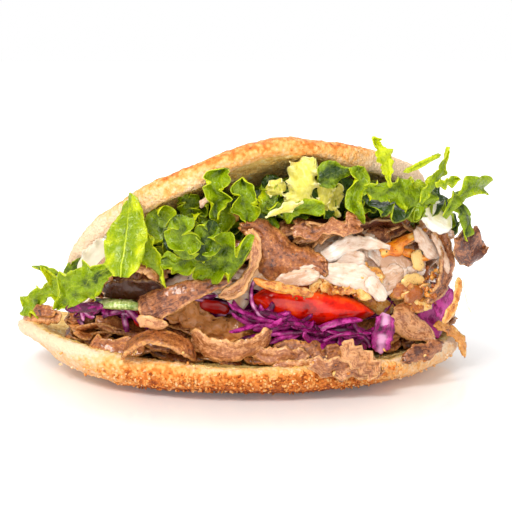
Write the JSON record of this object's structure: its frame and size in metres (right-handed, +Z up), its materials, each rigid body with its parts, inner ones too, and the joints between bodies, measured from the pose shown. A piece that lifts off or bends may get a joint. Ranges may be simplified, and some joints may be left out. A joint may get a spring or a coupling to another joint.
{
  "type": "doner kebab sandwich",
  "caption": "Round flatbread cut open like a clam and packed with sliced meat, cabbage, tomato and lettuce, lying on its flat lower crust.",
  "frame": {"origin": "in the flat of the lower crust that the sandwich rests on, under the middle of the bread", "axes": "+X along the mouth of the bread, to the right of someone who looks into it; +Y from the mouth back to the uncut hinge; +Z up"},
  "size_m": [0.2206, 0.147, 0.1115],
  "materials": {
    "carrot": "moist",
    "crust": "baked, dry",
    "cucumber": "moist",
    "leaf": "crisp, slightly waxy",
    "leaf_pale": "crisp, slightly waxy",
    "meat": "roasted, slightly greasy",
    "meat_pale": "sliced, slightly greasy",
    "onion": "moist, translucent",
    "purple_cabbage": "moist",
    "tomato": "wet, glossy",
    "white_cabbage": "moist, dressed"
  },
  "bodies": {
    "root": {"bread": "crust", "carrot_lower": "carrot", "carrot_upper": "carrot", "cucumber_end": "cucumber", "cucumber_slice": "cucumber", "leaf_apron": "leaf", "leaf_behind_onion": "leaf", "leaf_crisp": "leaf", "leaf_curtain": "leaf", "leaf_dark_lobe": "leaf", "leaf_feather": "leaf_pale", "leaf_heart": "leaf_pale", "leaf_jagged": "leaf", "leaf_lobe_left": "leaf", "leaf_lobe_middle": "leaf", "leaf_spear": "leaf", "leaf_sprawl": "leaf", "leaf_tip_left": "leaf", "leaf_tip_right": "leaf", "leaf_under_heart": "leaf", "leaf_upright_right": "leaf", "meat_arch": "meat_pale", "meat_bed": "meat", "meat_bed_upper": "meat_pale", "meat_flag": "meat", "meat_hollow": "meat_pale", "meat_hook": "meat_pale", "meat_low_arch": "meat_pale", "meat_low_fold": "meat", "meat_low_hump": "meat", "meat_low_left": "meat", "meat_low_ragged": "meat", "meat_low_right": "meat_pale", "meat_low_smile": "meat_pale", "meat_on_rim": "meat_pale", "meat_pale_right": "meat_pale", "meat_ragged_top": "meat_pale", "meat_roll": "meat", "meat_saddle": "meat", "meat_tip_left": "meat", "meat_tongue": "meat_pale", "onion_piece": "onion", "onion_ring": "purple_cabbage", "purple_band": "purple_cabbage", "purple_cabbage_bed": "purple_cabbage", "purple_chunk": "purple_cabbage", "purple_lobe": "purple_cabbage", "purple_strands": "purple_cabbage", "salad_bed": "leaf", "slaw_bed": "white_cabbage", "slaw_flake": "white_cabbage", "slaw_middle": "white_cabbage", "slaw_right": "white_cabbage", "slaw_top": "white_cabbage", "strand_right": "meat_pale", "tomato_piece": "tomato", "tomato_wedge": "tomato"}
  },
  "joints": []
}
